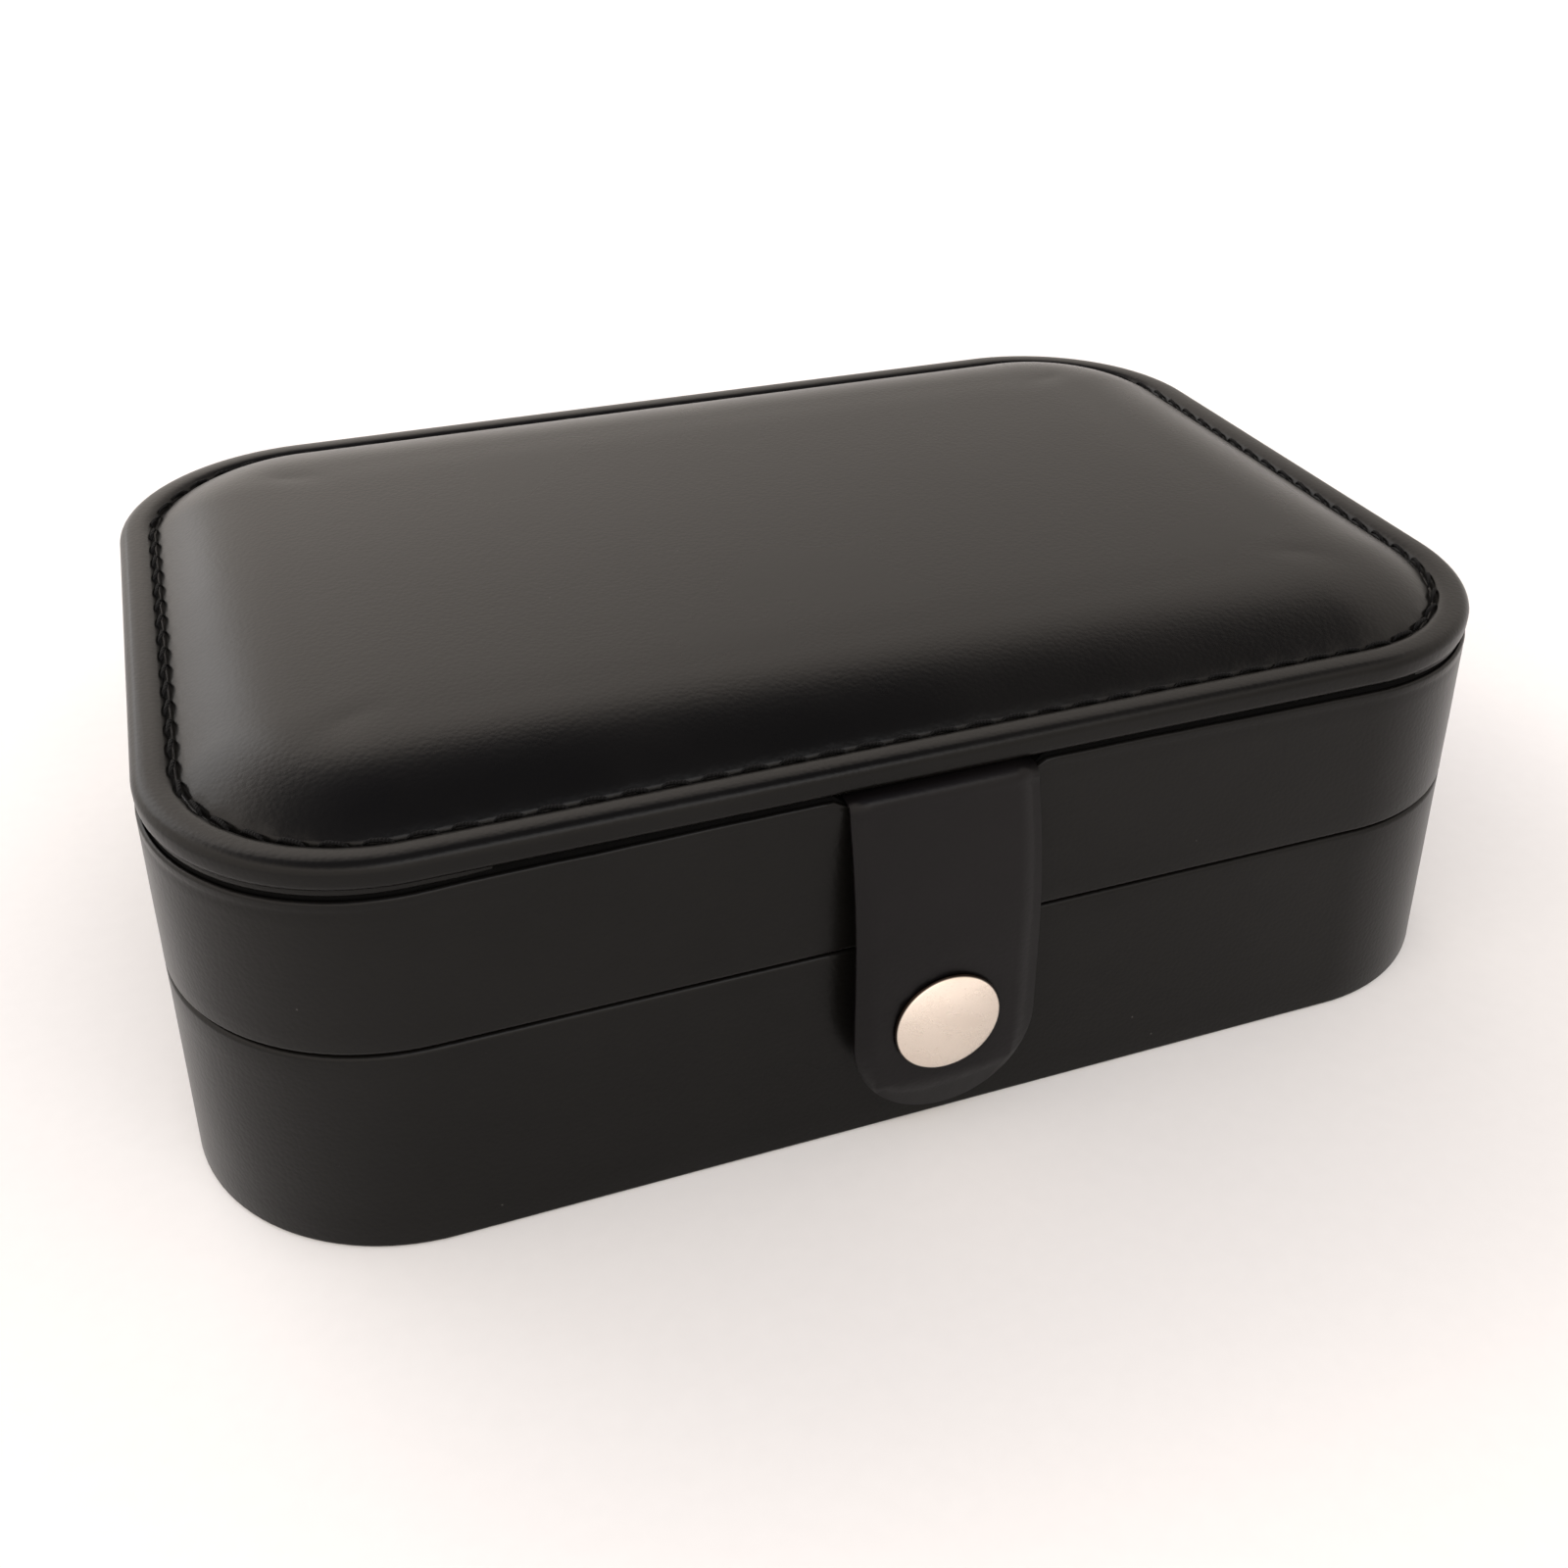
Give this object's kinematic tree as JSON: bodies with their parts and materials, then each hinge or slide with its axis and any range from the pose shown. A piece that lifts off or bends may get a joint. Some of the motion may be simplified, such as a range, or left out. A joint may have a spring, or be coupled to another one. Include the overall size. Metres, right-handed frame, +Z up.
{
  "type": "jewelry gift box",
  "caption": "Rounded black leather travel jewelry box with padded stitched lid, flap with press stud, divided velvet tray, ring rolls and lid hooks.",
  "frame": {"origin": "middle of the flat underside, on the surface that the box rests on", "axes": "+X right along the front, seen from the front; +Y from the front flap to the back hinge; +Z up"},
  "size_m": [0.165, 0.1191, 0.055],
  "materials": {
    "box_leather": "satin, fine grained, black",
    "backing_leather": "matte, smooth, black",
    "wall_card": "bare grey board",
    "velvet": "short-pile charcoal velvet",
    "pad_foam": "soft open-cell foam",
    "thread": "black sewing thread",
    "elastic": "gathered elastic braid",
    "snap_metal": "satin champagne nickel plate",
    "hook_metal": "bright nickel plate"
  },
  "bodies": {
    "base": {"bottom_cover": "box_leather", "base_wall_leather": "box_leather", "hinge_strip": "box_leather", "base_wall_card": "wall_card", "base_floor_card": "wall_card", "ring_tray_card": "wall_card", "floor_velvet": "velvet", "tray_wall": "velvet", "cross_divider": "velvet", "long_divider": "velvet", "short_divider": "velvet", "front_tray_end": "velvet", "back_tray_end": "velvet", "hinge_ribbon": "velvet", "ring_roll_1": "velvet", "ring_roll_2": "velvet", "ring_roll_3": "velvet", "ring_roll_4": "velvet", "ring_roll_5": "velvet", "ring_roll_6": "velvet", "ring_roll_7": "velvet", "snap_stud": "snap_metal", "snap_rivet": "snap_metal"},
    "lid": {"lid_wall_card": "wall_card", "lid_wall_leather": "box_leather", "lid_top_board": "wall_card", "lid_foam_pad": "pad_foam", "lid_top_leather": "box_leather", "stitch_thread": "thread", "lid_panel": "velvet", "lid_liner": "velvet", "hook_strip": "backing_leather", "necklace_hooks": "hook_metal", "hook_rivets": "hook_metal", "lid_pocket": "velvet", "pocket_band": "elastic", "flap_tab": "box_leather", "flap_bend": "box_leather"},
    "flap": {"flap_leather": "box_leather", "flap_backing": "backing_leather", "snap_cap": "snap_metal", "snap_socket": "snap_metal"}
  },
  "joints": [
    {"name": "lid_hinge", "type": "hinge", "parent": "base", "child": "lid", "pos_m": [0, 0.0565, 0.0272], "axis": [-1, 0, 0], "range_deg": [0, 105], "deforming": ["hinge_strip", "hinge_ribbon", "snap_socket"]},
    {"name": "flap_hinge", "type": "hinge", "parent": "lid", "child": "flap", "pos_m": [0, -0.05755, 0.04665], "axis": [-1, 0, 0], "range_deg": [0, 95], "deforming": ["flap_bend"]}
  ]
}
